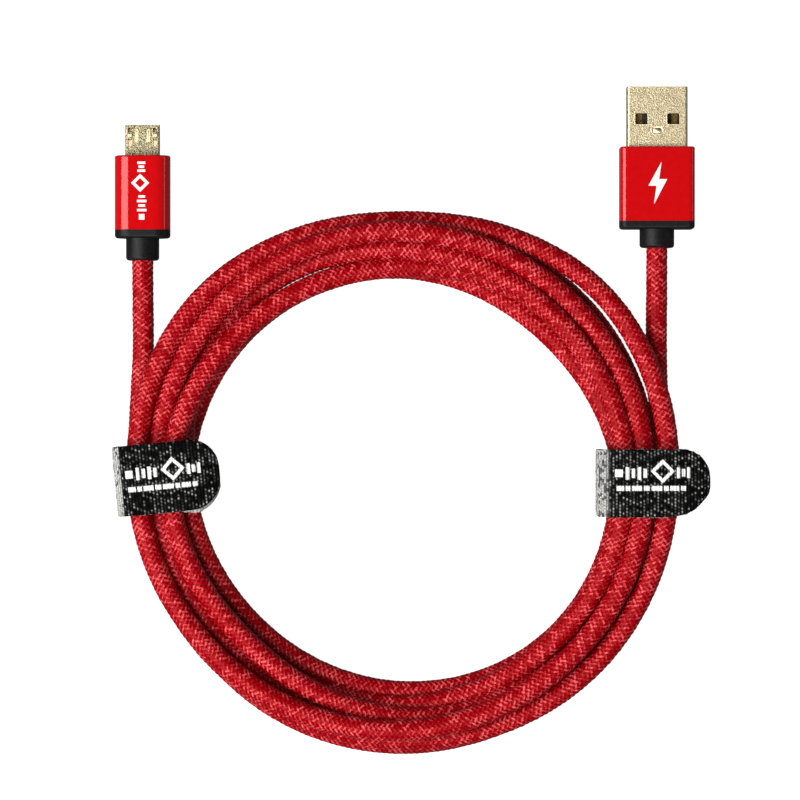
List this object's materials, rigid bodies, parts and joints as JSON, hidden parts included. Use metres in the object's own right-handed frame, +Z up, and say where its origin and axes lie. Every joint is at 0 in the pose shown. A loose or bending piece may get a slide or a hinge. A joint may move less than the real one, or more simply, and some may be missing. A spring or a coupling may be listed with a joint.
{
  "type": "charging cable",
  "caption": "Micro-USB charging cable with a red braided cord, red metal plugs and gold shells, wound in a round coil held by hook-and-loop ties.",
  "frame": {"origin": "middle of the underside of the bounding box, on the table that the coil lies on", "axes": "+Z up from the table; +Y along both plugs towards their tips; +X from the micro-B plug towards the USB-A plug"},
  "size_m": [0.1178, 0.1322, 0.0158],
  "materials": {
    "gold_shell": "gold-plated steel with a fine satin grain",
    "gold_contact": "gold-plated contacts",
    "red_aluminium": "red anodised, smooth satin",
    "black_boot": "matt moulded elastomer",
    "black_insulator": "glass-filled insulator",
    "white_mould": "plain low-pressure moulding",
    "red_braid": "tight diamond braid of glossy nylon yarn",
    "strap_hook": "ribbed black woven hook tape with a plain white print",
    "strap_loop": "grey brushed loop lining",
    "wire_red": "insulated conductor",
    "wire_white": "insulated conductor",
    "wire_green": "insulated conductor",
    "wire_black": "insulated conductor"
  },
  "bodies": {
    "cable": {"cord_coil": "red_braid", "cord_tail_micro_b": "red_braid", "cord_tail_usb_a": "red_braid", "micro_b_boot": "black_boot", "micro_b_contacts": "gold_contact", "micro_b_inner_mould": "white_mould", "micro_b_shell": "gold_shell", "micro_b_sleeve": "red_aluminium", "micro_b_tongue": "black_insulator", "micro_b_wire_black": "wire_black", "micro_b_wire_green": "wire_green", "micro_b_wire_red": "wire_red", "micro_b_wire_white": "wire_white", "tie_left_strap": "strap_hook", "tie_right_strap": "strap_hook", "usb_a_boot": "black_boot", "usb_a_contacts": "gold_contact", "usb_a_inner_mould": "white_mould", "usb_a_shell": "gold_shell", "usb_a_sleeve": "red_aluminium", "usb_a_tongue": "black_insulator", "usb_a_wire_black": "wire_black", "usb_a_wire_green": "wire_green", "usb_a_wire_red": "wire_red", "usb_a_wire_white": "wire_white"},
    "latch_left": {"micro_b_latch_left": "gold_shell"},
    "latch_right": {"micro_b_latch_right": "gold_shell"},
    "tab_left": {"tie_left_tab": "strap_hook", "tie_left_loop_lining": "strap_loop"},
    "tab_right": {"tie_right_tab": "strap_hook", "tie_right_loop_lining": "strap_loop"}
  },
  "joints": [
    {"name": "latch_left_press", "type": "hinge", "parent": "cable", "child": "latch_left", "pos_m": [-0.0556, 0.0481, 0.00386], "axis": [-1, 0, 0], "range_deg": [0, 3], "stiffness_Nm_per_rad": 0.05},
    {"name": "latch_right_press", "type": "hinge", "parent": "cable", "child": "latch_right", "pos_m": [-0.0506, 0.0481, 0.00386], "axis": [-1, 0, 0], "range_deg": [0, 3], "stiffness_Nm_per_rad": 0.05},
    {"name": "tab_left_peel", "type": "hinge", "parent": "cable", "child": "tab_left", "pos_m": [-0.05323, -0.01163, 0.01575], "axis": [0.0958, -0.9954, 0], "range_deg": [0, 130]},
    {"name": "tab_right_peel", "type": "hinge", "parent": "cable", "child": "tab_right", "pos_m": [0.04165, -0.0123, 0.01575], "axis": [0, -1, 0], "range_deg": [0, 130]}
  ]
}
